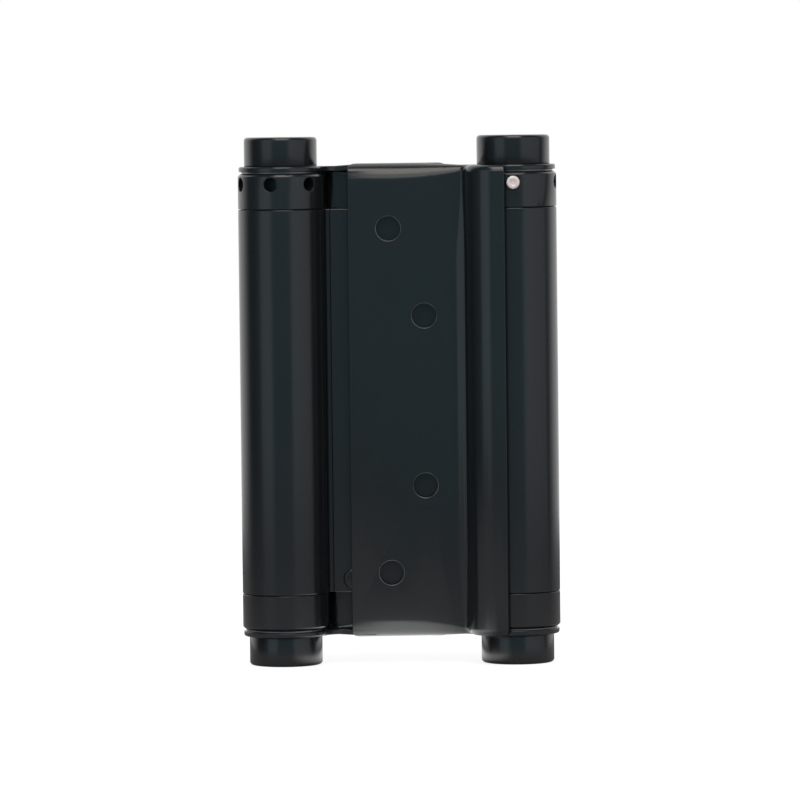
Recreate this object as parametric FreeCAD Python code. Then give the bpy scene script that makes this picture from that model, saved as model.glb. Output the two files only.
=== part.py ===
import FreeCAD, Part
import math
import os
from FreeCAD import Vector

# Double action cafe hinge, folded flat. Millimetres, +Z up along the barrels, origin at its centre.
# The door leaf is in front (-Y) and turns on the right barrel (+X). The jamb leaf is the same
# pressing turned half a turn about Z, behind, on the left barrel. The web joins the two barrels.

# Sheet metal
sheet = 1.1                # thickness of every sheet
leaf_height = 99.6         # over the two ears
leaf_reach = 35.15         # from the barrel's axis to the leaf's free edge
leaf_gap = 0.3             # between the rolled edges of the two leaves, across the mid-plane
web_clear = 1.4            # between a leaf's panel and the web
panel_rise = 0.55          # how far the panel's rolled edges stand beyond the ears
panel_roll = 2.9           # inner radius of the panel's rolled edges
wrap_roll = 0.5            # inner radius where the wrap turns into the ear
roll_fade = 14.0           # length over which the one runs into the other
flange_corner = 2.4        # rounding of the rolled edge's free corner

# Barrels
barrel_radius = 9.1        # outside of the tubes and collars
barrel_gap = 31.1          # clear width between the two barrels
web_edge_gap = 1.15        # from a web sheet's far edge to the other barrel
web_bend = 1.0             # inner radius of the bend where the panel runs into the tube
seam_gap = 0.4             # where the rolled sheet comes back to itself

# Wrap of the leaf over its barrel
wrap_tighter = 3.2         # the wrap's inner radius is this much less than the barrel's
wrap_peak_gap = 1.79       # from the barrel to the wrap's inside, at its widest
wrap_edge = 2.1            # from the barrel's axis to the wrap's free edge, sideways
panel_bend = 1.0           # outer radius of the bend between panel and wrap

# Ears
ear_setback = 0.2          # ear radius below barrel radius
ear_blend = 4.0            # hollow rounding between ear and rolled edge
ear_rim = 0.25             # chamfer of the ear's rim

# Screw holes: sideways from the leaf's free edge, and the distance between the two of a pair
screw_radius = 2.6
outer_screws_inset = 8.5
outer_screws_pitch = 73.0
inner_screws_inset = 15.9
inner_screws_pitch = 36.0
sink_depth = 0.5           # countersink on the inner face

# Collars
collar_height = 7.5
collar_rim = 0.6           # chamfer of the collar's outer rim
tube_gap_free = 0.12       # between the tube and the tension collar
tube_gap_fixed = 0.1       # between the tube and the fixed collar
hub_length = 5.0           # how far a collar's hub goes into the tube
hub_clear_free = 0.3       # tension collar's hub inside the tube
hub_clear_fixed = 0.05     # fixed collar's hub inside the tube
bar_hole_radius = 1.45     # holes for the pin and the winding bar
bar_hole_count = 6
bar_hole_pitch = 56.0      # degrees
bar_hole_floor = 4.0       # from the axis to the bottom of a hole
bar_hole_drop = 2.3        # below the collar's rim
left_stand = 32.5          # degrees that the left spring's set stands beyond the leaf's edge

# Tension pin
pin_radius = 1.38
pin_reach = 10.5           # from the axis to the pin's outer end
pin_gap = 0.45             # between the pin and the wrap's free edge
pin_rim = 0.25
pin_floor_gap = 0.1        # between the pin and the bottom of its hole

# Spindles, caps and washers
spindle_radius = 2.5
run_clear = 0.05           # radial clearance round a spindle
spindle_in_cap = 4.5
cap_radius = 7.73
cap_height = 6.2
cap_rim = 0.75
washer_radius = 8.3
washer_thickness = 0.25
washer_play = 0.1

# Springs
wire_radial = 1.4
wire_axial = 8.8
coil_gap = 0.5             # least gap between two turns
spring_tube_clear = 0.9    # between the coils and the tube
spring_end_gap = 0.2       # between the last coil and the hub
tang_width = 2.0
tang_length = 2.4
tang_clear = 0.08

# Rivets
rivet_radius = 1.2
rivet_head_radius = 2.1
rivet_head_height = 0.8
rivet_head_rim = 0.5
rivet_edge_inset = 2.9     # from the web's upper or lower edge
rivet_low_offset = 10.2    # sideways from the middle, lower pair
rivet_high_offset = 7.5    # sideways from the middle, upper pair

# Heights and radii that follow
half_height = leaf_height / 2
ear_inner = half_height - sheet
collar_top = ear_inner - washer_thickness - washer_play
collar_base = collar_top - collar_height
tube_top = collar_base - tube_gap_free
tube_bottom = collar_base - tube_gap_fixed
tube_inner = barrel_radius - sheet
ear_radius = barrel_radius - ear_setback
axis_x = barrel_gap / 2 + barrel_radius
web_edge_x = barrel_gap / 2 - web_edge_gap
panel_top = half_height + panel_rise
panel_outer = 2 * sheet + web_clear
leaf_edge_x = axis_x - leaf_reach
overrun = 2 * barrel_radius            # how far trimming shapes run past the sheet

# Centre of the wrap, on the diagonal in front of the barrel, and the wrap's outer radius
wrap_radius = barrel_radius - wrap_tighter + sheet
wrap_shift = (wrap_tighter + wrap_peak_gap) / math.sqrt(2)
wrap_centre = Vector(axis_x - wrap_shift, -wrap_shift, 0)
wrap_edge_angle = math.degrees(math.asin((wrap_shift - wrap_edge) / wrap_radius)) - 90

# Centre of the hollow bend between panel and wrap, and where the wrap's arc takes over from it
bend_span = wrap_radius + panel_bend
bend_y = -panel_outer - panel_bend
bend_x = wrap_centre.x - math.sqrt(bend_span ** 2 - (bend_y - wrap_centre.y) ** 2)
bend_meet = math.degrees(math.atan2(bend_y - wrap_centre.y, bend_x - wrap_centre.x))

# Spring seat
spring_radius = tube_inner - spring_tube_clear - wire_radial / 2
hub_end = collar_base - hub_length
coil_end = hub_end - spring_end_gap
tang_end = hub_end + tang_length
spring_rise = 2 * coil_end - wire_axial
spring_turns = math.floor(2 * spring_rise / (wire_axial + coil_gap)) / 2


def polar(radius, angle, centre=Vector(0, 0, 0)):
    """Point at a radius and an angle in degrees from +X, round a centre, in plan."""
    turn = math.radians(angle)
    return centre + Vector(radius * math.cos(turn), radius * math.sin(turn), 0)


def line(start, end):
    return Part.LineSegment(start, end).toShape()


def arc(centre, radius, first, last):
    """Arc from one angle to another, passing half way between them."""
    middle = polar(radius, (first + last) / 2, centre)
    return Part.Arc(polar(radius, first, centre), middle, polar(radius, last, centre)).toShape()


def prism(edges, low, high):
    """Extrude a closed plan outline between two heights."""
    face = Part.Face(Part.Wire(edges))
    face.translate(Vector(0, 0, low))
    return face.extrude(Vector(0, 0, high - low))


def rod(radius, low, high):
    return Part.makeCylinder(radius, high - low, Vector(0, 0, low))


def at_barrel(shape, x=axis_x):
    placed = shape.copy()
    placed.translate(Vector(x, 0, 0))
    return placed


def half_turn(shape):
    """The same piece turned half a turn about the hinge's middle axis."""
    turned = shape.copy()
    turned.rotate(Vector(0, 0, 0), Vector(0, 0, 1), 180)
    return turned


def upside_down(shape):
    return shape.mirror(Vector(0, 0, 0), Vector(0, 0, 1))


def tidy(shape):
    """Merge split faces and give back the one solid."""
    return shape.removeSplitter().Solids[0]


def turned(radius, low, high, chamfer):
    """Rod with its upper rim chamfered."""
    body = rod(radius, low, high)
    rim = [edge for edge in body.Edges if abs(edge.CenterOfMass.z - high) < 1e-6]
    return body.makeChamfer(chamfer, rim)


def wall_section(x, fade):
    """Section across the upper half of the panel, where the edge's roll has faded to this share."""
    high = half_height + panel_rise * fade
    roll = wrap_roll + (panel_roll - wrap_roll) * fade
    back = overrun - panel_outer
    centre = Vector(x, roll + sheet - panel_outer, high - roll - sheet)
    edges = []
    for radius in (roll + sheet, roll):
        front, top = centre - Vector(0, radius, 0), centre + Vector(0, 0, radius)
        middle = centre + Vector(0, -radius, radius) * math.sqrt(0.5)
        edges.append(line(Vector(x, front.y, 0), front))
        edges.append(Part.Arc(front, middle, top).toShape())
        edges.append(line(top, Vector(x, back, top.z)))
    ends = [line(Vector(x, -panel_outer, 0), Vector(x, sheet - panel_outer, 0)),
            line(Vector(x, back, high), Vector(x, back, high - sheet))]
    return Part.Wire(Part.__sortEdges__(edges + ends))


def panel_wall():
    """Upper half of the panel with its rolled edge, which fades towards the wrap."""
    fade_x = bend_x - roll_fade
    plain = Part.Face(wall_section(leaf_edge_x, 1)).extrude(Vector(fade_x - leaf_edge_x, 0, 0))
    sections = [wall_section(bend_x - roll_fade * (1 - share), 1 - share ** 2) for share in (0, 0.4, 0.75, 1)]
    return plain.fuse(Part.makeLoft(sections, True, True))


def wrap_form(inset, margin):
    """Upper half of the solid behind the bend's and the wrap's wall, with its rolled edge."""
    high = half_height - inset
    start = Vector(bend_x, inset - panel_outer, 0)
    end = polar(wrap_radius - inset, 0, wrap_centre)
    wall = [
        arc(Vector(bend_x, bend_y, 0), panel_bend + inset, 90, bend_meet + 180),
        arc(wrap_centre, wrap_radius - inset, bend_meet, 0),
        line(end, Vector(end.x, margin, 0)),
    ]
    back = [line(Vector(end.x, margin, 0), Vector(bend_x, margin, 0)), line(Vector(bend_x, margin, 0), start)]
    form = prism(wall + back, 0, high)
    places = [edge.CenterOfMass + Vector(0, 0, high) for edge in wall]
    lip = [edge for edge in form.Edges if any(edge.CenterOfMass.isEqual(place, 1e-4) for place in places)]
    return form.makeFillet(wrap_roll + sheet - inset, lip)


def leaf_outline():
    """Plan of the leaf without its ears: panel and wrap, up to where the rolled edge runs flat."""
    front_point = wrap_centre + polar(overrun, wrap_edge_angle)
    flange_y = -leaf_gap / 2
    blend_y = flange_y + ear_blend
    blend_x = axis_x - math.sqrt((ear_radius + ear_blend) ** 2 - blend_y ** 2)
    blend_angle = math.degrees(math.atan2(-blend_y, axis_x - blend_x))
    blend_centre = Vector(blend_x, blend_y, 0)
    corner = Vector(leaf_edge_x + flange_corner, flange_y - flange_corner, 0)
    front_left = Vector(leaf_edge_x, front_point.y, 0)
    return [
        line(front_point, wrap_centre),
        line(wrap_centre, polar(ear_blend, blend_angle, blend_centre)),
        arc(blend_centre, ear_blend, blend_angle, -90),
        line(Vector(blend_x, flange_y, 0), Vector(corner.x, flange_y, 0)),
        arc(corner, flange_corner, 90, 180),
        line(Vector(leaf_edge_x, corner.y, 0), front_left),
        line(front_left, front_point),
    ]


def door_leaf():
    """Drawn sheet: panel, rolled edges, wrap over the barrel and an ear at each end of it."""
    trim = prism(leaf_outline(), -overrun, panel_top + overrun)
    wrap = wrap_form(0, overrun).cut(wrap_form(sheet, 2 * overrun))
    pressed = panel_wall().fuse(wrap).common(trim)
    ear = at_barrel(turned(ear_radius, ear_inner, half_height, ear_rim)).cut(trim)
    upper = pressed.fuse(ear)
    leaf = tidy(upper.fuse(upside_down(upper)))
    leaf = leaf.cut(at_barrel(rod(spindle_radius + run_clear, -panel_top, panel_top)))
    for inset, pitch in ((outer_screws_inset, outer_screws_pitch), (inner_screws_inset, inner_screws_pitch)):
        for side in (-1, 1):
            leaf = leaf.cut(screw_hole(leaf_edge_x + inset, side * pitch / 2))
    return leaf.Solids[0]


def screw_hole(x, z):
    """Tool for one hole, opened on the inner face by a countersink at 45 degrees."""
    inner_y = -panel_outer + sheet
    start = Vector(x, -panel_outer - sheet, z)
    hole = Part.makeCylinder(screw_radius, 3 * sheet, start, Vector(0, 1, 0))
    sink_start = Vector(x, inner_y - sink_depth, z)
    sink = Part.makeCone(
        screw_radius, screw_radius + 2 * sink_depth, 2 * sink_depth, sink_start, Vector(0, 1, 0)
    )
    return hole.fuse(sink)


def web_sheet():
    """Sheet of the right barrel: a flat panel in front of the mid-plane, rolled into a tube."""
    centre = Vector(axis_x, 0, 0)
    root_y = -sheet - web_bend
    root_x = axis_x - math.sqrt((barrel_radius + web_bend) ** 2 - root_y ** 2)
    root_centre = Vector(root_x, root_y, 0)
    start = math.degrees(math.atan2(root_y, root_x - axis_x)) + 360
    end = 540 - math.degrees(math.asin(seam_gap / barrel_radius))
    outline = [
        line(Vector(-web_edge_x, -sheet, 0), Vector(root_x, -sheet, 0)),
        arc(root_centre, web_bend, 90, start - 180),
        arc(centre, barrel_radius, start, end),
        line(polar(barrel_radius, end, centre), polar(tube_inner, end, centre)),
        arc(centre, tube_inner, end, start),
        arc(root_centre, web_bend + sheet, start - 180, 90),
        line(Vector(root_x, 0, 0), Vector(-web_edge_x, 0, 0)),
        line(Vector(-web_edge_x, 0, 0), Vector(-web_edge_x, -sheet, 0)),
    ]
    return prism(outline, -tube_bottom, tube_top)


def rivet_places():
    low = -tube_bottom + rivet_edge_inset
    high = tube_top - rivet_edge_inset
    places = [(side * rivet_low_offset, low) for side in (-1, 1)]
    return places + [(side * rivet_high_offset, high) for side in (-1, 1)]


def rivet_hole(x, z):
    start = Vector(x, -2 * sheet, z)
    return Part.makeCylinder(rivet_radius + run_clear, 4 * sheet, start, Vector(0, 1, 0))


def rivet(x, z):
    """Shank through both sheets with a low head at each end, turned about the Y direction."""
    seat = sheet + run_clear
    head = turned(rivet_head_radius, seat, seat + rivet_head_height, rivet_head_rim)
    solid = rod(rivet_radius, -seat, seat).fuse([head, upside_down(head)])
    solid.rotate(Vector(0, 0, 0), Vector(1, 0, 0), 90)
    solid.translate(Vector(x, 0, z))
    return tidy(solid)


def collar(hub_clear, tang_angle):
    """Collar above a tube's end: rim, hub into the tube, spindle bore and slot for the spring's tang."""
    body = turned(barrel_radius, collar_base, collar_top, collar_rim)
    body = tidy(body.fuse(rod(tube_inner - hub_clear, hub_end, collar_base)))
    body = body.cut(rod(spindle_radius + run_clear, hub_end - sheet, collar_top + sheet))
    slot_floor = tang_end + tang_clear
    slot_inner = spring_radius - wire_radial / 2 - tang_clear
    slot_width = tang_width + 2 * tang_clear
    slot = Part.makeBox(
        barrel_radius, slot_width, slot_floor - hub_end + sheet,
        Vector(slot_inner, -tang_clear, hub_end - sheet),
    )
    slot = slot.common(rod(tube_inner + sheet, hub_end - sheet, slot_floor))
    slot.rotate(Vector(0, 0, 0), Vector(0, 0, 1), tang_angle)
    return body.cut(slot).Solids[0]


def pin_angle():
    """Direction of the pin from the barrel's axis, so that its side lies by the wrap's free edge."""
    corner = polar(wrap_radius, wrap_edge_angle, wrap_centre) - Vector(axis_x, 0, 0)
    towards = math.degrees(math.atan2(corner.y, corner.x))
    return towards + math.degrees(math.asin((pin_radius + pin_gap) / corner.Length))


def tension_collar():
    """Top collar of the right barrel, with a row of radial holes for the pin and the winding bar."""
    ring = collar(hub_clear_free, spring_turns * 360)
    height = collar_top - bar_hole_drop
    for index in range(bar_hole_count):
        angle = pin_angle() - index * bar_hole_pitch
        direction = polar(1.0, angle)
        floor = polar(bar_hole_floor, angle) + Vector(0, 0, height)
        ring = ring.cut(Part.makeCylinder(bar_hole_radius, barrel_radius, floor, direction))
    return at_barrel(ring.Solids[0])


def fixed_collar():
    """Plain collar at the right barrel's foot, fast in the tube."""
    foot = collar(hub_clear_fixed, 0)
    foot.rotate(Vector(0, 0, 0), Vector(1, 0, 0), 180)
    return at_barrel(foot)


def tension_pin():
    height = collar_top - bar_hole_drop
    start = bar_hole_floor + pin_floor_gap
    pin = turned(pin_radius, start, pin_reach, pin_rim)
    pin.rotate(Vector(0, 0, 0), Vector(0, 1, 0), 90)
    pin.rotate(Vector(0, 0, 0), Vector(0, 0, 1), pin_angle())
    pin.translate(Vector(axis_x, 0, height))
    return pin


def spring():
    """Right-handed torsion spring of flat wire, with a tang at each end for the collars' slots."""
    low = -coil_end + wire_axial / 2
    path = Part.makeHelix(spring_rise / spring_turns, spring_rise, spring_radius)
    path.translate(Vector(0, 0, low))
    inner = spring_radius - wire_radial / 2
    outer = spring_radius + wire_radial / 2
    corners = [
        Vector(inner, 0, low - wire_axial / 2),
        Vector(outer, 0, low - wire_axial / 2),
        Vector(outer, 0, low + wire_axial / 2),
        Vector(inner, 0, low + wire_axial / 2),
    ]
    section = Part.makePolygon(corners + corners[:1])
    coil = Part.Wire(path.Edges).makePipeShell([section], True, True)
    length = tang_end - coil_end + wire_axial
    foot = Part.makeBox(wire_radial, tang_width, length, Vector(inner, -tang_width, -tang_end))
    head = Part.makeBox(wire_radial, tang_width, length, Vector(inner, 0, tang_end - length))
    head.rotate(Vector(0, 0, 0), Vector(0, 0, 1), spring_turns * 360)
    return at_barrel(coil.fuse([foot, head]).Solids[0])


def spindle():
    reach = half_height + spindle_in_cap
    return at_barrel(rod(spindle_radius, -reach, reach))


def end_cap():
    """Turned cap, bored blind for the spindle's end."""
    cap = turned(cap_radius, half_height, half_height + cap_height, cap_rim)
    bore = rod(spindle_radius + run_clear, half_height - sheet, half_height + spindle_in_cap + run_clear)
    return at_barrel(cap.cut(bore))


def thrust_washer():
    low = collar_top + washer_play / 2
    ring = rod(washer_radius, low, low + washer_thickness)
    return at_barrel(ring.cut(rod(spindle_radius + run_clear, low - sheet, low + sheet)))


def build():
    """Every piece by its name. What is on the left barrel is the right one's, half a turn round."""
    holes = [rivet_hole(x, z) for x, z in rivet_places()]
    web = web_sheet()
    parts = {
        "door_leaf": door_leaf(),
        "web_sheet_right": web.cut(holes).Solids[0],
        "web_sheet_left": half_turn(web).cut(holes).Solids[0],
        "web_rivets": Part.makeCompound([rivet(x, z) for x, z in rivet_places()]),
    }
    parts["jamb_leaf"] = half_turn(parts["door_leaf"])
    barrel_pieces = {
        "tension_collar": tension_collar(),
        "fixed_collar": fixed_collar(),
        "tension_pin": tension_pin(),
        "spring": spring(),
        "spindle": spindle(),
        "end_cap_top": end_cap(),
        "end_cap_bottom": upside_down(end_cap()),
        "thrust_washer_top": thrust_washer(),
        "thrust_washer_bottom": upside_down(thrust_washer()),
    }
    for name, piece in barrel_pieces.items():
        parts[name + "_right"] = piece
        parts[name + "_left"] = half_turn(piece)
    for name in ("tension_collar", "tension_pin", "spring", "fixed_collar"):
        parts[name + "_left"].rotate(Vector(-axis_x, 0, 0), Vector(0, 0, 1), left_stand)
    return parts


os.makedirs("parts", exist_ok=True)
for node, shape in build().items():
    shape.exportStep("parts/" + node + ".step")
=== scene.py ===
import math

import bmesh
import bpy
from mathutils import Matrix, Vector


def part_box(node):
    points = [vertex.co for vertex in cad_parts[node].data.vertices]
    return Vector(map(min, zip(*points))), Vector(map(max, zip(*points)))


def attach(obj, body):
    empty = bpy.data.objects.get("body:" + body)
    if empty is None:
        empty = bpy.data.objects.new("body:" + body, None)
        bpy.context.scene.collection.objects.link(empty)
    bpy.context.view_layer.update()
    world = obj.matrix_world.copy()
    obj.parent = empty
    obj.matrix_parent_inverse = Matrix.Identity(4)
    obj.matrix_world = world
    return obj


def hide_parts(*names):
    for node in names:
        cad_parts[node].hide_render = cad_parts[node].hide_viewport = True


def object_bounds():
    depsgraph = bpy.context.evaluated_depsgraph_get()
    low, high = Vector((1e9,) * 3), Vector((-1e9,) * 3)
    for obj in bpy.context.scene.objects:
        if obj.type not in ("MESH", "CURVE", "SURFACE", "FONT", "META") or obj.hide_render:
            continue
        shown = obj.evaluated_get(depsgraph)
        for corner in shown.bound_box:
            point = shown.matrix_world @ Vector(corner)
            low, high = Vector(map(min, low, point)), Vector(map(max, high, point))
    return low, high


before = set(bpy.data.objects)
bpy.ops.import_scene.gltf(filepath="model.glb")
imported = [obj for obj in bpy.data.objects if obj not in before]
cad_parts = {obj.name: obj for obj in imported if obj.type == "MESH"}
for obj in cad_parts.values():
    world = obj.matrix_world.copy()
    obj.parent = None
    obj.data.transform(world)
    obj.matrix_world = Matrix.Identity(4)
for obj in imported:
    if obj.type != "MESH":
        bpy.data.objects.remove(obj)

# The hinge at rest, as model.glb holds it. Its box sets the height of the table.
MM = 0.001
rest_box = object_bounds()
bpy.ops.object.select_all(action="DESELECT")
scene = bpy.context.scene
scene.view_settings.view_transform = "Standard"


# The camera
# A long lens a little above the hinge's middle, square to the front leaf. The hinge leans a little
# over half a degree in the picture, so the camera is rolled by as much.
VIEW_DISTANCE = 1.24
VIEW_RISE = math.radians(3.0)
VIEW_ROLL = math.radians(-0.64)
VIEW_LENS = 262.8
VIEW_END = 20
VIEW_TARGET = Vector((0.13 * MM, 0, -0.02 * MM))

camera = bpy.data.objects.new("camera", bpy.data.cameras.new("camera"))
scene.collection.objects.link(camera)
camera.data.lens = VIEW_LENS
camera.data.clip_end = VIEW_END
away = Vector((0, -math.cos(VIEW_RISE), math.sin(VIEW_RISE)))
camera.location = VIEW_TARGET + away * VIEW_DISTANCE
turn = away.to_track_quat("Z", "Y").to_matrix().to_4x4() @ Matrix.Rotation(VIEW_ROLL, 4, "Z")
camera.matrix_world = Matrix.Translation(camera.location) @ turn
scene.camera = camera


# The table and the room
# A white table top and a white wall far behind it, which the gloss paint mirrors at its limbs, and
# a dimmer room on the camera's side. Both are white to the camera, and the table keeps the shadow.
class Shade:
    """An output socket of one material's nodes. Arithmetic on it adds Math nodes."""

    def __init__(self, tree, socket=None):
        self.tree = tree
        self.socket = socket

    def node(self, kind, settings=(), sockets=(), output=0):
        """Adds a node: its settings first, then the values or links of its sockets."""
        made = self.tree.nodes.new(kind)
        for name, value in dict(settings).items():
            if name == "stops":
                ramp = made.color_ramp.elements
                for index, (place, colour) in enumerate(value):
                    stop = ramp[index] if index < 2 else ramp.new(place)
                    stop.position = place
                    stop.color = (*colour, 1)
            else:
                setattr(made, name, value)
        for name, value in dict(sockets).items():
            if isinstance(value, Shade):
                self.tree.links.new(value.socket, made.inputs[name])
            else:
                made.inputs[name].default_value = value
        return Shade(self.tree, made.outputs[output] if made.outputs else None)

    def maths(self, operation, first, second=0.0):
        return self.node("ShaderNodeMath", {"operation": operation}, {0: first, 1: second})

    def mix(self, factor, first, second):
        """The first colour where the factor is 0, the second where it is 1."""
        sockets = {0: factor, 6: first, 7: second}
        return self.node("ShaderNodeMix", {"data_type": "RGBA"}, sockets, output=2)

    def between(self, value, start, end, least=0.0, kind="LINEAR"):
        """The least at a value of start, 1 at a value of end."""
        sockets = {"Value": value, "From Min": start, "From Max": end, "To Min": least}
        return self.node("ShaderNodeMapRange", {"interpolation_type": kind}, sockets)

    def __add__(self, other):
        return self.maths("ADD", self, other)

    __radd__ = __add__

    def __mul__(self, other):
        return self.maths("MULTIPLY", self, other)

    __rmul__ = __mul__

    def __sub__(self, other):
        return self.maths("SUBTRACT", self, other)

    def __rsub__(self, other):
        return self.maths("SUBTRACT", other, self)


ROOM_LIGHT = 0.6
# What a reflection shows of the room, from the camera's side at 0 to the wall behind at 1.
CAMERA_SIDE = (0.148, 0.25, 0.288)
PANEL_SIDE = (0.10, 0.145, 0.165)
DARK_SIDE = (0.055, 0.07, 0.08)
WALL_WHITE = (1.0, 1.0, 1.0)
ROOM_STOPS = [
    (0.0, CAMERA_SIDE), (0.30, PANEL_SIDE), (0.40, DARK_SIDE), (0.57, DARK_SIDE),
    (0.78, WALL_WHITE),
]

world = bpy.data.worlds.new("room")
scene.world = world
world.use_nodes = True
world.node_tree.nodes.clear()
room = Shade(world.node_tree)
direction = room.node("ShaderNodeTexCoord", output="Generated")
backward = room.node("ShaderNodeSeparateXYZ", sockets={0: direction}, output="Y")
walls = room.node("ShaderNodeValToRGB", {"stops": ROOM_STOPS}, {0: backward * 0.5 + 0.5})
camera_ray = room.node("ShaderNodeLightPath", output="Is Camera Ray")
glossy_ray = room.node("ShaderNodeLightPath", output="Is Glossy Ray")
plain = camera_ray + (1 - camera_ray) * ROOM_LIGHT
lit_room = room.node("ShaderNodeBackground", sockets={"Color": (1, 1, 1, 1), "Strength": plain})
seen_room = room.node("ShaderNodeBackground", sockets={"Color": walls})
both_rooms = room.node("ShaderNodeMixShader", sockets={0: glossy_ray, 1: lit_room, 2: seen_room})
room.node("ShaderNodeOutputWorld", sockets={"Surface": both_rooms})


def material(name):
    """A new material and its empty nodes."""
    made = bpy.data.materials.new(name)
    made.use_nodes = True
    made.node_tree.nodes.clear()
    return made, Shade(made.node_tree)


def surface(shade, bsdf):
    shade.node("ShaderNodeOutputMaterial", sockets={"Surface": bsdf})


TABLE_SIDES = 96
TABLE_RADIUS = 0.38
TABLE_GAP = 0.05 * MM
bpy.ops.mesh.primitive_circle_add(
    vertices=TABLE_SIDES, radius=TABLE_RADIUS, fill_type="NGON",
    location=(0, 0, rest_box[0][2] - TABLE_GAP),
)
table = bpy.context.object
table.name = "table_top"

# The table glows white by itself. To the camera the glow is a little weaker near the hinge, where
# the shadow shows. In the paint's reflections the glow is strong close by and all but gone further
# off, a painted light that stands in for bright light under the hinge. The table's own colour is
# pale grey near the hinge and near black further off: a painted pool of light.
TABLE_GREY = (0.32, 0.32, 0.33, 1)
TABLE_FAR_GREY = (0.06, 0.06, 0.06, 1)
GREY_FADE = (0.10, 0.32)
GLOW = 0.84
GLOW_FADE = (0.08, 0.25)
MIRRORED_GLOW = 1.8
MIRRORED_LOSS = 1.76
MIRRORED_FADE = (0.01, 0.062)
MIRRORED_ACROSS = 3.0

table_white, cloth = material("table_white")
spot = cloth.node("ShaderNodeTexCoord", output="Object")


def fade(first, last, across=1.0):
    """0 in the middle of the table, within the first distance, and 1 beyond the last."""
    scaled = cloth.node(
        "ShaderNodeVectorMath", {"operation": "MULTIPLY"}, {0: spot, 1: (across, 1, 1)}
    )
    reach = cloth.node("ShaderNodeVectorMath", {"operation": "LENGTH"}, {0: scaled}, output="Value")
    return cloth.between(reach, first, last, kind="SMOOTHSTEP")


def seen_as_white(shade):
    """1 for the rays that show the background: the camera's, a reflection's and glass's."""
    rays = [shade.node("ShaderNodeLightPath", output=name)
            for name in ("Is Camera Ray", "Is Glossy Ray", "Is Transmission Ray")]
    return rays[0] + rays[1] + rays[2]


# A painted pool of light: the table's colour is pale grey round the hinge, near black further off.
painted_pool_colour = cloth.mix(fade(*GREY_FADE), TABLE_GREY, TABLE_FAR_GREY)
lit = cloth.node("ShaderNodeBsdfDiffuse", sockets={"Color": painted_pool_colour})
to_camera = GLOW + fade(*GLOW_FADE) * (1 - GLOW)
# A painted light: the glow the paint mirrors is strong only close to the hinge.
in_gloss = MIRRORED_GLOW - fade(*MIRRORED_FADE, across=MIRRORED_ACROSS) * MIRRORED_LOSS
camera_sees = cloth.node("ShaderNodeLightPath", output="Is Camera Ray")
strength = camera_sees * to_camera + (seen_as_white(cloth) - camera_sees) * in_gloss
glow = cloth.node("ShaderNodeEmission", sockets={"Color": (1, 1, 1, 1), "Strength": strength})
surface(cloth, cloth.node("ShaderNodeAddShader", sockets={0: lit, 1: glow}))
table.data.materials.append(table_white)
table.select_set(False)


def softbox(name, place, size, power, colour):
    """A plain rectangular panel of soft light that faces the hinge."""
    lamp = bpy.data.objects.new(name, bpy.data.lights.new(name, "AREA"))
    scene.collection.objects.link(lamp)
    lamp.data.shape = "RECTANGLE"
    lamp.data.size, lamp.data.size_y = size
    lamp.data.energy = power
    lamp.data.color = colour
    facing = Vector(place).to_track_quat("Z", "Y").to_matrix().to_4x4()
    lamp.matrix_world = Matrix.Translation(place) @ facing


softbox("right_panel", (0.85, -0.53, 0.12), size=(1.35, 1.0), power=1.4, colour=(1.0, 0.98, 0.98))
softbox("left_panel", (-0.69, -0.72, 0.12), size=(0.57, 1.0), power=0.62, colour=(0.86, 0.94, 1.0))
softbox("top_panel", (0.04, -0.37, 0.93), size=(0.56, 0.70), power=3.15, colour=(1.0, 0.91, 0.84))
softbox("upper_panel", (0.04, -0.81, 0.59), size=(0.70, 0.42), power=1.1, colour=(1.0, 0.96, 0.92))


# The leaves
# One drawn steel sheet each, held by a spindle through its two ears and sprayed black: a smooth
# half gloss film with a faint orange peel, thin enough to follow every edge.
GLOSS = 0.75
DRIFT_SCALE = 60
DRIFT_DETAIL = 3
DRIFT_ROUGHNESS = 0.08
PEEL_SCALE = 900
PEEL_DETAIL = 2
PEEL_DEPTH = 0.05 * MM


def noise(shade, place, scale, detail):
    sockets = {"Vector": place, "Scale": scale, "Detail": detail}
    return shade.node("ShaderNodeTexNoise", sockets=sockets)


def bumped(shade, height, strength, depth):
    """The normal of a surface with a fine relief."""
    sockets = {"Strength": strength, "Distance": depth, "Height": height}
    return shade.node("ShaderNodeBump", sockets=sockets)


# Round each screw hole a thin lighter ring, broken into patches by noise, is painted into the
# colour: a painted highlight for the light that the rounded rims catch.
HOLES = ((-2.0 * MM, 36.5 * MM), (5.4 * MM, 18.0 * MM))
HOLE_RIM = 2.63 * MM
RIM_WIDTH = 0.13 * MM
RIM_CORE = 0.03 * MM
RIM_HIGHLIGHT_GREY = (0.15, 0.155, 0.16, 1)
RIM_PATCH_SCALE = 330
RIM_PATCH_DETAIL = 1
RIM_PATCH_RANGE = (0.3, 0.62)
RIM_PATCH_LEAST = 0.25


def painted_rim_highlights(shade, place):
    """1 on the painted highlight round a screw hole's rim, on the door leaf and, turned round, on
    the jamb leaf.
    """
    x, y, z = (
        shade.node("ShaderNodeSeparateXYZ", sockets={0: place}, output=name) for name in "XYZ"
    )
    across = 0 - x * shade.maths("SIGN", y)
    height = shade.maths("ABSOLUTE", z)
    reaches = []
    for hole_x, hole_z in HOLES:
        aside, above = across - hole_x, height - hole_z
        reaches.append(shade.maths("SQRT", aside * aside + above * above))
    off = shade.maths("ABSOLUTE", shade.maths("MINIMUM", *reaches) - HOLE_RIM)
    patches = noise(shade, place, RIM_PATCH_SCALE, RIM_PATCH_DETAIL)
    rim = shade.between(off, RIM_WIDTH, RIM_CORE)
    return rim * shade.between(patches, *RIM_PATCH_RANGE, least=RIM_PATCH_LEAST)


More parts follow.
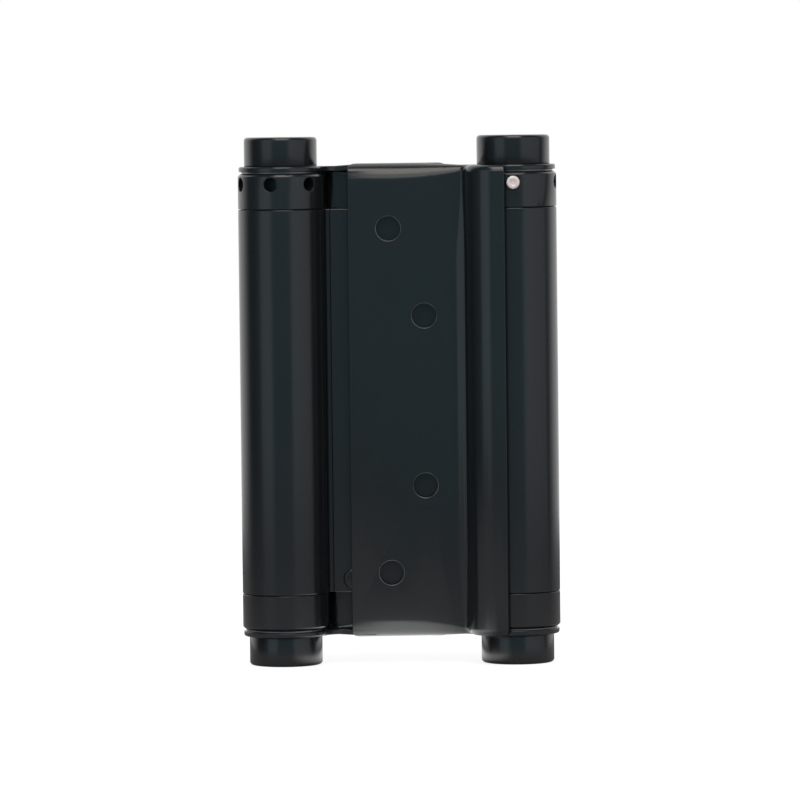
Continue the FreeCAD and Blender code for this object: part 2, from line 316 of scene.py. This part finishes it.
def black_paint(name, dark, light, roughness, peel, holes=False):
    """Black enamel between two near blacks, with a painted highlight round each screw hole's rim.
    """
    made, shade = material(name)
    place = shade.node("ShaderNodeTexCoord", output="Object")
    drift = noise(shade, place, DRIFT_SCALE, DRIFT_DETAIL)
    fine = noise(shade, place, PEEL_SCALE, PEEL_DETAIL)
    colour = shade.mix(drift, (*dark, 1), (*light, 1))
    if holes:
        # The screw holes' rims get a painted highlight: a lighter grey ring mixed into the colour.
        colour = shade.mix(painted_rim_highlights(shade, place), colour, RIM_HIGHLIGHT_GREY)
    bsdf = shade.node(
        "ShaderNodeBsdfPrincipled",
        sockets={
            "Base Color": colour,
            "Roughness": (drift - 0.5) * DRIFT_ROUGHNESS + roughness,
            "Specular IOR Level": GLOSS,
            "Normal": bumped(shade, fine, peel, PEEL_DEPTH),
        },
    )
    surface(shade, bsdf)
    return made


MERGE = 0.002 * MM
FLAT_ANGLE = math.radians(0.5)
SMOOTH_ANGLE = math.radians(28)
SHARP_ANGLE = math.radians(32)
EDGE_SEGMENTS = 3


def edit(piece):
    bpy.context.view_layer.objects.active = piece
    piece.select_set(True)
    bpy.ops.object.mode_set(mode="EDIT")


def leave(piece):
    bpy.ops.object.mode_set(mode="OBJECT")
    piece.select_set(False)


def pick(piece, kind, chosen):
    """In edit mode, selects the edges or faces whose middle the test chooses."""
    bpy.ops.mesh.select_mode(type=kind)
    bpy.ops.mesh.select_all(action="DESELECT")
    form = bmesh.from_edit_mesh(piece.data)
    for part in list(form.edges if kind == "EDGE" else form.faces):
        middle = sum((corner.co for corner in part.verts), Vector()) / len(part.verts)
        if chosen(middle):
            part.select_set(True)
    bmesh.update_edit_mesh(piece.data)


def merged_copy(node, ending):
    """A copy of one of the frame's pieces, its loose triangles merged into whole faces."""
    piece = bpy.data.objects.new(node + ending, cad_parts[node].data.copy())
    scene.collection.objects.link(piece)
    edit(piece)
    bpy.ops.mesh.select_all(action="SELECT")
    bpy.ops.mesh.remove_doubles(threshold=MERGE)
    bpy.ops.mesh.dissolve_limited(angle_limit=FLAT_ANGLE)
    leave(piece)
    return piece


def smooth(piece):
    """Shades a piece smooth up to its sharp edges, after edit mode has renewed its normals."""
    edit(piece)
    bpy.ops.object.mode_set(mode="OBJECT")
    bpy.ops.object.shade_smooth_by_angle(angle=SMOOTH_ANGLE)
    piece.select_set(False)


def round_edges(piece, width):
    """Rounds every sharp edge, as the sprayed film and the tumbling before it leave it."""
    smooth(piece)
    rounding = piece.modifiers.new("edge", "BEVEL")
    rounding.width = width
    rounding.segments = EDGE_SEGMENTS
    rounding.limit_method = "ANGLE"
    rounding.angle_limit = SHARP_ANGLE
    rounding.use_clamp_overlap = False
    rounding.harden_normals = True
    bpy.ops.object.modifier_apply(modifier=rounding.name)


def dress(piece, made, slot, body, *nodes):
    """Gives a finished piece its material and its body, and hides the nodes it stands for."""
    piece.data.materials.clear()
    piece.data.materials.append(made)
    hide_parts(*nodes)
    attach(piece, body)


LEAF_EDGE = 0.16 * MM
leaf_black = black_paint(
    "leaf_black", dark=(0.007, 0.010, 0.012), light=(0.010, 0.013, 0.015),
    roughness=0.20, peel=0.12, holes=True,
)

# The panel doesn't meet the wrap in an even bend: it swells forward over its last few millimetres
# and ends in a crease at the foot of the wrap. The swell narrows to nothing at the edge rolls.
# Only the sheet's front moves, wholly from SWELL_WHOLE on and not at all behind SWELL_BACK.
SWELL_START = 11.6 * MM
SWELL_STEEP = 12.1 * MM
SWELL_CREASE = 14.1 * MM
SWELL_END = 14.3 * MM
SWELL_SLOPES = (math.tan(math.radians(14)), math.tan(math.radians(27)))
SWELL_CUTS = 8
SWELL_BACK = 1.5 * MM
SWELL_WHOLE = 2.4 * MM
SWELL_TOP = 49 * MM
SWELL_FADES = (47, 45, 42.5, 40, 37, 34, 31)
SWELL_LEAST = 0.05
SWELL_TAPER = 0.8
BEND_START = 13.2 * MM
BEND_RADIUS = 1.0 * MM


def swell(along, height):
    """How far the panel is brought forward, this far from the middle and from half height."""
    first, last = SWELL_SLOPES
    part = (SWELL_TOP - height) / (SWELL_TOP - SWELL_FADES[-1] * MM)
    part = min(max(part, SWELL_LEAST), 1) ** SWELL_TAPER
    place = SWELL_CREASE - (SWELL_CREASE - min(along, SWELL_CREASE)) / part
    foot = max(min(place, SWELL_STEEP) - SWELL_START, 0)
    slope = max(place - SWELL_STEEP, 0)
    bend = min(max(along - BEND_START, 0), SWELL_CREASE - BEND_START)
    rise = first * foot ** 2 / (2 * (SWELL_STEEP - SWELL_START))
    rise += first * slope + (last - first) * slope ** 2 / (2 * (SWELL_CREASE - SWELL_STEEP))
    rise = max(rise * part - BEND_RADIUS + math.sqrt(BEND_RADIUS ** 2 - bend ** 2), 0)
    return rise * min((SWELL_END - along) / (SWELL_END - SWELL_CREASE), 1)


def swelled(piece, side):
    """Curves the panel forward before the wrap. The side is 1 for the door leaf, else -1."""
    edit(piece)
    for cut in range(SWELL_CUTS + 1):
        place = SWELL_START + (SWELL_CREASE - SWELL_START) * cut / SWELL_CUTS
        bpy.ops.mesh.select_all(action="SELECT")
        bpy.ops.mesh.bisect(plane_co=(side * place, 0, 0), plane_no=(1, 0, 0))
    for place in SWELL_FADES:
        for height in (place * MM, -place * MM):
            pick(piece, "FACE", lambda at: SWELL_START < at.x * side < SWELL_END)
            bpy.ops.mesh.bisect(plane_co=(0, 0, height), plane_no=(0, 0, 1))
    leave(piece)
    for corner in piece.data.vertices:
        along, front = corner.co.x * side, -corner.co.y * side
        if SWELL_START < along < SWELL_END:
            share = min(max((front - SWELL_BACK) / (SWELL_WHOLE - SWELL_BACK), 0), 1)
            corner.co.y -= side * swell(along, abs(corner.co.z)) * share


for side, node, body in ((1, "door_leaf", "door"), (-1, "jamb_leaf", "jamb")):
    leaf = merged_copy(node, "_painted")
    swelled(leaf, side)
    round_edges(leaf, LEAF_EDGE)
    dress(leaf, leaf_black, "leaf_paint", body, node)


# The web
# Two steel sheets back to back, riveted together. Each has its far edge rolled into the tube of a
# barrel. They are sprayed as the leaves are, a little duller.
def softened(node, width, made, slot, body):
    """One of the frame's pieces as it is, with rounded edges."""
    piece = merged_copy(node, "_painted")
    round_edges(piece, width)
    dress(piece, made, slot, body, node)


WEB_EDGE = 0.25 * MM
web_black = black_paint(
    "web_black", dark=(0.007, 0.009, 0.011), light=(0.010, 0.012, 0.014), roughness=0.22, peel=0.12
)
for side in ("left", "right"):
    softened("web_sheet_" + side, WEB_EDGE, web_black, "web_paint", "web")


# The collars
# Turned steel, painted: a plain collar fixed in the lower end of each barrel, and a tension collar
# with holes for the winding bar that turns in the upper end.
COLLAR_EDGE = 0.14 * MM
UNDER_HOLES = 44.25 * MM
collar_black = black_paint(
    "collar_black", dark=(0.008, 0.010, 0.012), light=(0.012, 0.013, 0.015),
    roughness=0.20, peel=0.10,
)
for side in ("left", "right"):
    # A cut just below the holes keeps the shading of their rims out of the band beneath.
    collar = merged_copy("tension_collar_" + side, "_painted")
    edit(collar)
    bpy.ops.mesh.select_all(action="SELECT")
    bpy.ops.mesh.bisect(plane_co=(0, 0, UNDER_HOLES), plane_no=(0, 0, 1))
    leave(collar)
    round_edges(collar, COLLAR_EDGE)
    dress(collar, collar_black, "collar_paint", "collar_" + side, "tension_collar_" + side)
    softened("fixed_collar_" + side, COLLAR_EDGE, collar_black, "collar_paint", "web")


# The rivets of the web
# Four small steel rivets closed cold through both sheets before painting, each with a low rounded
# head on either side.
RIVET_HEAD = 2.1 * MM
RIVET_SHANK = 1.2 * MM
RIVET_SEAT = 1.15 * MM
RIVET_HEIGHT = 0.6 * MM
RIVET_ROUND = 0.56 * MM
RIVET_SIDES = 48
RIVET_SEGMENTS = 6
LOW_RIVET = 10.2 * MM
HIGH_RIVET = 7.5 * MM
# An edge or a face this close to a plane lies in it.
TOUCH = 0.01 * MM


def corners(node):
    """The low and the high corner of one of the frame's pieces."""
    return [Vector(corner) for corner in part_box(node)]


def extrude(offset, scale=(1, 1, 1), centre=(0, 0, 0)):
    """Draws the selected face out, and widens or narrows it about a centre."""
    bpy.ops.mesh.extrude_region_move(TRANSFORM_OT_translate={"value": offset})
    if scale != (1, 1, 1):
        bpy.ops.transform.resize(value=scale, center_override=centre)


def rounded(piece, width, segments, chosen):
    """In edit mode, rounds the edges whose middle the test chooses."""
    pick(piece, "EDGE", chosen)
    bpy.ops.mesh.bevel(offset=width, segments=segments, profile=0.5)


low, high = corners("web_rivets")
bpy.ops.mesh.primitive_cylinder_add(
    vertices=RIVET_SIDES, radius=RIVET_HEAD, depth=RIVET_HEIGHT,
    rotation=(math.radians(90), 0, 0), location=(0, -RIVET_SEAT - RIVET_HEIGHT / 2, 0),
)
rivet = bpy.context.object
bpy.ops.object.transform_apply(location=True, rotation=True, scale=True)
edit(rivet)
pick(rivet, "FACE", lambda at: abs(at.y + RIVET_SEAT) < TOUCH)
bpy.ops.mesh.inset(thickness=RIVET_HEAD - RIVET_SHANK)
extrude((0, 2 * RIVET_SEAT, 0))
widen = RIVET_HEAD / RIVET_SHANK
extrude((0, 0, 0), (widen, 1, widen))
extrude((0, RIVET_HEIGHT, 0))
outside = RIVET_SEAT + RIVET_HEIGHT
rounded(rivet, RIVET_ROUND, RIVET_SEGMENTS, lambda at: abs(abs(at.y) - outside) < TOUCH)
bpy.ops.mesh.select_all(action="SELECT")
bpy.ops.mesh.normals_make_consistent(inside=False)
leave(rivet)

RIVETS = {
    "low_left": (-LOW_RIVET, low.z + RIVET_HEAD),
    "low_right": (LOW_RIVET, low.z + RIVET_HEAD),
    "high_left": (-HIGH_RIVET, high.z - RIVET_HEAD),
    "high_right": (HIGH_RIVET, high.z - RIVET_HEAD),
}
for place, (x, z) in RIVETS.items():
    piece = bpy.data.objects.new("rivet_" + place, rivet.data.copy())
    scene.collection.objects.link(piece)
    piece.data.transform(Matrix.Translation((x, 0, z)))
    smooth(piece)
    dress(piece, web_black, "web_paint", "web", "web_rivets")
bpy.data.objects.remove(rivet)


# The end caps
# Turned steel caps pressed on the spindle ends over the ears: a generous round at the outer rim, a
# light break at the foot, and the small cone of the lathe's centre in the end face.
CAP_SIDES = 128
CAP_ROUND = 0.75 * MM
CAP_ROUND_SEGMENTS = 8
CAP_FOOT = 0.16 * MM
CAP_FOOT_SEGMENTS = 2
CENTRE_MARK = 0.8 * MM
CENTRE_DEPTH = 0.5 * MM
CENTRE_TIP = 0.15
# A face with its middle this close to a point is the one there.
NEAR = 0.1 * MM
cap_black = black_paint(
    "cap_black", dark=(0.006, 0.007, 0.009), light=(0.010, 0.011, 0.012), roughness=0.20, peel=0.10
)

for side, body in (("left", "jamb"), ("right", "door")):
    for end, outward in (("top", 1), ("bottom", -1)):
        node = "end_cap_" + end + "_" + side
        low, high = corners(node)
        middle = (low + high) / 2
        radius = (high.x - low.x) / 2
        outer, foot = (high.z, low.z) if outward > 0 else (low.z, high.z)
        bpy.ops.mesh.primitive_cylinder_add(
            vertices=CAP_SIDES, radius=radius, depth=high.z - low.z, location=middle
        )
        cap = bpy.context.object
        cap.name = node + "_turned"
        bpy.ops.object.transform_apply(location=True, rotation=True, scale=True)
        edit(cap)
        rounded(cap, CAP_ROUND, CAP_ROUND_SEGMENTS, lambda at: abs(at.z - outer) < TOUCH)
        rounded(cap, CAP_FOOT, CAP_FOOT_SEGMENTS, lambda at: abs(at.z - foot) < TOUCH)
        face = Vector((middle.x, 0, outer))
        pick(cap, "FACE", lambda at: (at - face).length < NEAR)
        bpy.ops.mesh.inset(thickness=radius - CAP_ROUND - CENTRE_MARK)
        extrude((0, 0, -outward * CENTRE_DEPTH), (CENTRE_TIP, CENTRE_TIP, 1), face)
        smooth(cap)
        dress(cap, cap_black, "cap_paint", body, node)


# The tension pins, springs, spindles and washers
# Bright steel: nickel plated pins pushed into a hole of each tension collar, springs wound from
# flat wire, ground spindles through each barrel, and thin washers between the collars and the ears.
GRAIN_SCALE = (300, 300, 4000)
GRAIN_DETAIL = 2
GRAIN_DEPTH = 0.02 * MM
GRAIN_ROUGHNESS = 0.1


def bright_steel(name, colour, roughness, grain, metallic=1.0):
    """Bare or plated steel with the fine lines of turning round it."""
    made, shade = material(name)
    place = shade.node("ShaderNodeTexCoord", output="Object")
    turned = shade.node("ShaderNodeMapping", sockets={"Vector": place, "Scale": GRAIN_SCALE})
    lines = noise(shade, turned, 1, GRAIN_DETAIL)
    bsdf = shade.node(
        "ShaderNodeBsdfPrincipled",
        sockets={
            "Base Color": (*colour, 1),
            "Metallic": metallic,
            "Roughness": (lines - 0.5) * GRAIN_ROUGHNESS + roughness,
            "Normal": bumped(shade, lines, grain, GRAIN_DEPTH),
        },
    )
    surface(shade, bsdf)
    return made


PIN_EDGE = 0.1 * MM
PIN_DIMPLE_RIM = 0.42 * MM
PIN_DIMPLE_WALL = 0.06 * MM
PIN_DIMPLE_DEPTH = 0.4 * MM
pin_plate = bright_steel("pin_plate", (1.0, 0.90, 0.86), roughness=0.45, grain=0.6, metallic=0.35)
for side in ("left", "right"):
    node = "tension_pin_" + side
    pin = merged_copy(node, "_turned")
    low, high = corners("tension_collar_" + side)
    near, far = corners(node)
    axis = Vector(((low.x + high.x) / 2, 0, (near.z + far.z) / 2))
    outward = ((near + far) / 2 - axis).normalized()
    reach = max((corner.co - axis).dot(outward) for corner in pin.data.vertices)
    face = axis + outward * reach
    edit(pin)
    pick(pin, "FACE", lambda at: (at - face).length < NEAR)
    bpy.ops.mesh.inset(thickness=PIN_DIMPLE_RIM, depth=0)
    bpy.ops.mesh.inset(thickness=PIN_DIMPLE_WALL, depth=-PIN_DIMPLE_DEPTH)
    leave(pin)
    round_edges(pin, PIN_EDGE)
    dress(pin, pin_plate, "pin_plate", "collar_" + side, node)


def finish(made, *nodes):
    """Gives each named piece of the frame its material."""
    for name in nodes:
        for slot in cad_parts[name].material_slots:
            slot.material = made


spring_steel = bright_steel("spring_steel", (0.30, 0.30, 0.31), roughness=0.38, grain=0.3)
finish(spring_steel, "spring_left", "spring_right")
spindle_steel = bright_steel("spindle_steel", (0.55, 0.55, 0.56), roughness=0.25, grain=0.2)
finish(spindle_steel, "spindle_left", "spindle_right")
washer_steel = bright_steel("washer_steel", (0.25, 0.25, 0.25), roughness=0.35, grain=0.2)
finish(
    washer_steel, "thrust_washer_top_left", "thrust_washer_top_right",
    "thrust_washer_bottom_left", "thrust_washer_bottom_right",
)
